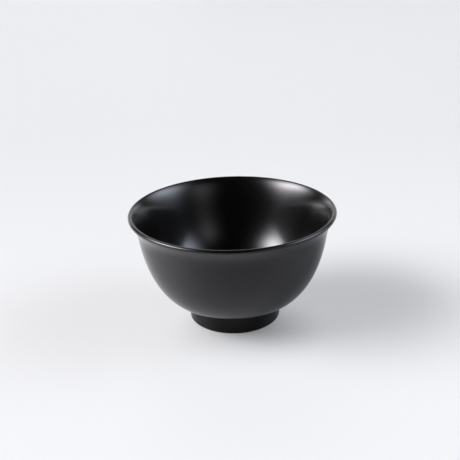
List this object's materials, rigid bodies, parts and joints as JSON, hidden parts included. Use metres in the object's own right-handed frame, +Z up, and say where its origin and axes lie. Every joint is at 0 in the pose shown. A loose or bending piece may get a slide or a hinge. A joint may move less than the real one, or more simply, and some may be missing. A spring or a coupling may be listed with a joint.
{
  "type": "soup bowl",
  "caption": "Round black lacquered soup bowl with a deep rounded body, a softly flared lip and a low foot ring, for hot soup held in the hands.",
  "frame": {"origin": "centre of the foot ring, in the plane where the bowl stands on the table", "axes": "+Z up along the axis that the bowl is turned about; X and Y are level and any pair will do, because the bowl is round"},
  "size_m": [0.118, 0.118, 0.066],
  "materials": {
    "wood": "turned, bare, under the coats",
    "cloth": "open plain weave, stiffened with lacquer",
    "ground": "matte filler of lacquer and fine earth, rubbed smooth",
    "lacquer": "black lacquer, satin gloss"
  },
  "bodies": {
    "root": {"wood_core": "wood", "rim_cloth": "cloth", "foot_cloth": "cloth", "outer_ground": "ground", "inner_ground": "ground", "base_lacquer": "lacquer", "foot_lacquer": "lacquer", "outer_lacquer": "lacquer", "rim_lacquer": "lacquer", "inner_lacquer": "lacquer"}
  },
  "joints": []
}
